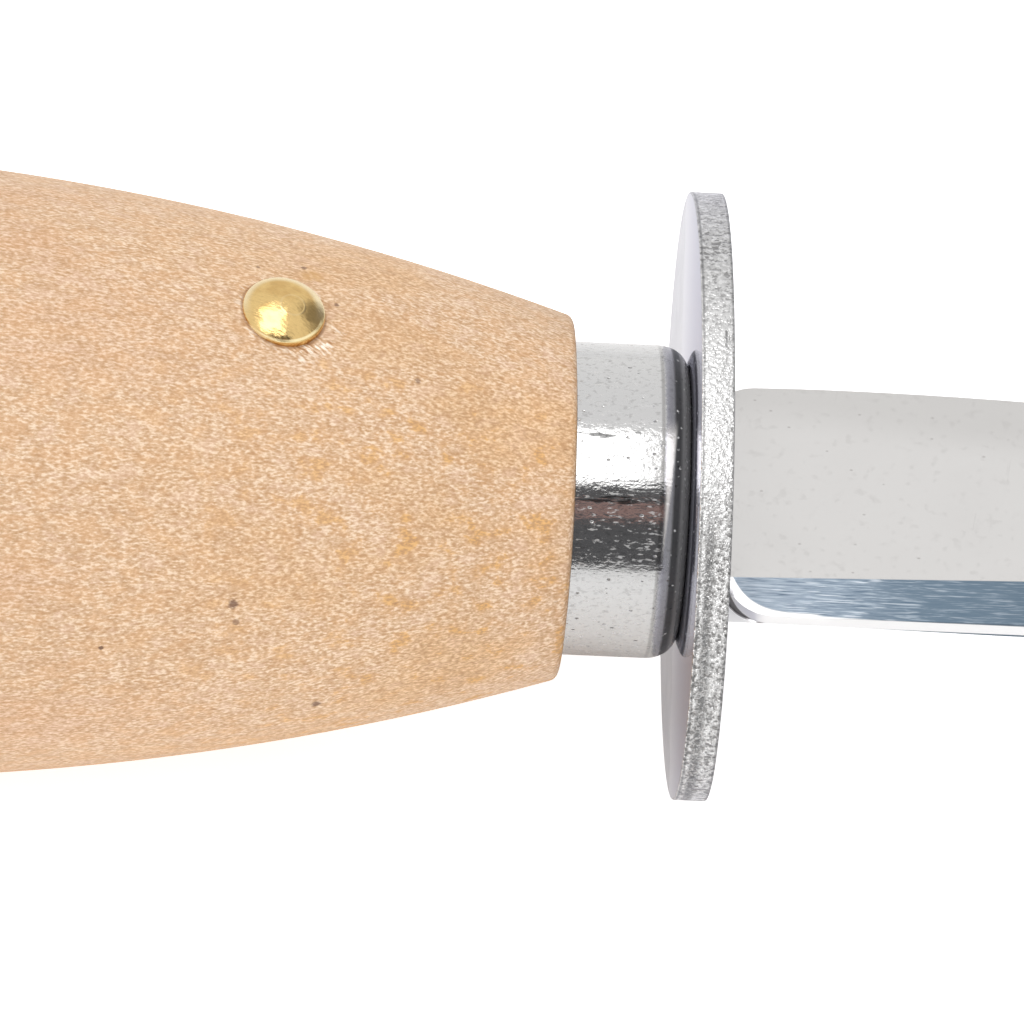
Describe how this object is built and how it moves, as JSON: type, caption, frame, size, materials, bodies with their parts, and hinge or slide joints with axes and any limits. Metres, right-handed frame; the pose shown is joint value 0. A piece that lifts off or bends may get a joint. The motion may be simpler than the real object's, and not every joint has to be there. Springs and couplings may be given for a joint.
{
  "type": "oyster knife",
  "caption": "Oyster knife with a stout pointed blade, an oval hand guard, a drawn ferrule and a turned pear-shaped wooden handle held on its flat tang by a brass rivet.",
  "frame": {"origin": "on the surface under the knife, midway along its length and midway across the guard, with the handle's lowest point at z = 0 and the blade's flats level", "axes": "+X along the knife from the handle toward the point, +Z square to the blade's flats, on the side of the rivet's plain head, -Y the side of the cutting edge"},
  "size_m": [0.1614, 0.0414, 0.0393],
  "materials": {
    "handle_wood": "bare turned beech, fine dark flecks along the grain",
    "ferrule_steel": "polished drawn steel",
    "guard_steel": "mirror-polished faces, rough punched rim",
    "blade_steel": "satin flats, lengthwise-ground bevels",
    "rivet_brass": "polished dome",
    "burr_brass": "satin washer"
  },
  "bodies": {
    "root": {"handle": "handle_wood", "ferrule": "ferrule_steel", "guard": "guard_steel", "blade": "blade_steel", "rivet": "rivet_brass", "rivet_burr": "burr_brass"}
  },
  "joints": []
}
